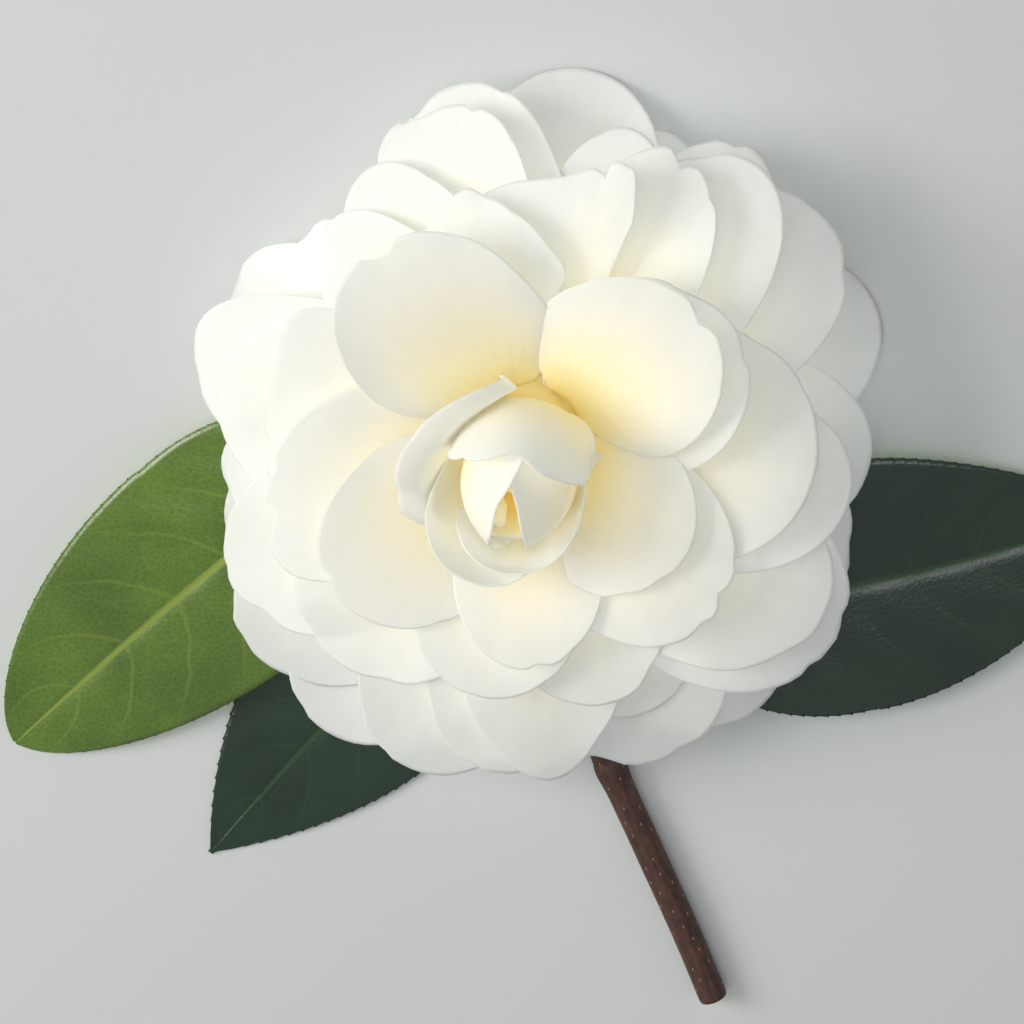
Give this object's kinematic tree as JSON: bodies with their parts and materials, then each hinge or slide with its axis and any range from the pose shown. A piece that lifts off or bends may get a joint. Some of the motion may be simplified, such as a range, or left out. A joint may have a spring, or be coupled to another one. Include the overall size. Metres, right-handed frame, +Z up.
{
  "type": "camellia flower",
  "caption": "White formal double camellia bloom with overlapping petals round a half-open bud, on a short cut twig with glossy toothed leaves.",
  "frame": {"origin": "on the flat underside of the twig, under the bloom's centre, where the picked flower rests on a surface", "axes": "+Z up out of the surface along the bloom's axis, +X across the bloom, -Y from the bloom towards the twig's cut end"},
  "size_m": [0.1678, 0.1441, 0.047],
  "materials": {
    "petals": "soft matt living petal, white with a warm yellow depth",
    "sepals": "silky matt scale, green with brown edges",
    "bark": "smooth young bark, matt, red-brown",
    "leaf_green": "waxy living leaf, glossy, dark green",
    "leaf_yellow_green": "waxy living leaf, glossy, yellow-green"
  },
  "bodies": {
    "root": {"bloom": "petals", "calyx": "sepals", "twig": "bark", "leaf_left": "leaf_yellow_green", "leaf_lower_left": "leaf_green", "leaf_right": "leaf_green"}
  },
  "joints": []
}
